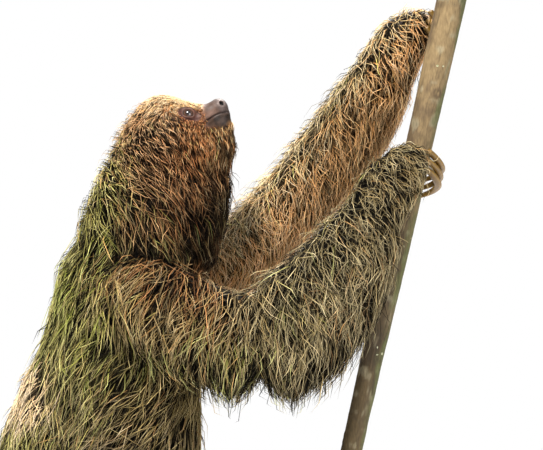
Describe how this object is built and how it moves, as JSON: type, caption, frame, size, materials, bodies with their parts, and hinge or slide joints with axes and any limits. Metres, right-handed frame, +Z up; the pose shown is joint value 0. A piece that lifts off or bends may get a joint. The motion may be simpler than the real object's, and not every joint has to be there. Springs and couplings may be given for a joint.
{
  "type": "three-toed sloth",
  "caption": "Life-size still model of a three-toed sloth reaching up and gripping a leaning cut stem, on a flat display base with two short rods.",
  "frame": {"origin": "middle of the underside of the stand's base, on the surface that it stands on", "axes": "+Z up, +X the way the animal faces, towards the stem, +Y the animal's left"},
  "size_m": [0.4774, 0.28, 0.693],
  "materials": {
    "fur_olive": "coarse dry hair, olive brown with green algae on the back",
    "fur_brown": "coarse dry hair, orange brown at the throat, greener on the nape",
    "fur_tan": "coarse dry hair, tan with straw tips",
    "fur_grey": "coarse dry hair, grey straw over dark brown with green patches",
    "face": "short golden and brown hair over the crown and cheeks, bare grey-brown muzzle",
    "eye": "wet dark brown",
    "claw": "polished amber horn, lighter along the ridge",
    "bark": "smooth pale bark with fine cracks, lichen and moss",
    "plinth": "satin dark stained hardwood",
    "steel": "brushed"
  },
  "bodies": {
    "root": {"stand_rod_body": "steel", "stand_rod_perch": "steel", "stand_collar_body": "steel", "stand_collar_perch": "steel", "stand_base": "plinth", "perch": "bark", "eye_left": "eye", "eye_right": "eye", "head": "face", "trunk": "fur_olive", "neck": "fur_brown", "tail": "fur_olive", "claw_hand_right_1": "claw", "claw_hand_right_2": "claw", "claw_hand_right_3": "claw", "claw_hand_left_1": "claw", "claw_hand_left_2": "claw", "claw_hand_left_3": "claw", "claw_foot_right_1": "claw", "claw_foot_right_2": "claw", "claw_foot_right_3": "claw", "claw_foot_left_1": "claw", "claw_foot_left_2": "claw", "claw_foot_left_3": "claw", "upper_arm_right": "fur_grey", "upper_arm_left": "fur_tan", "forearm_right": "fur_grey", "forearm_left": "fur_tan", "hand_right": "fur_grey", "hand_left": "fur_tan", "thigh_right": "fur_grey", "thigh_left": "fur_tan", "shin_right": "fur_grey", "shin_left": "fur_tan", "foot_right": "fur_grey", "foot_left": "fur_tan"}
  },
  "joints": []
}
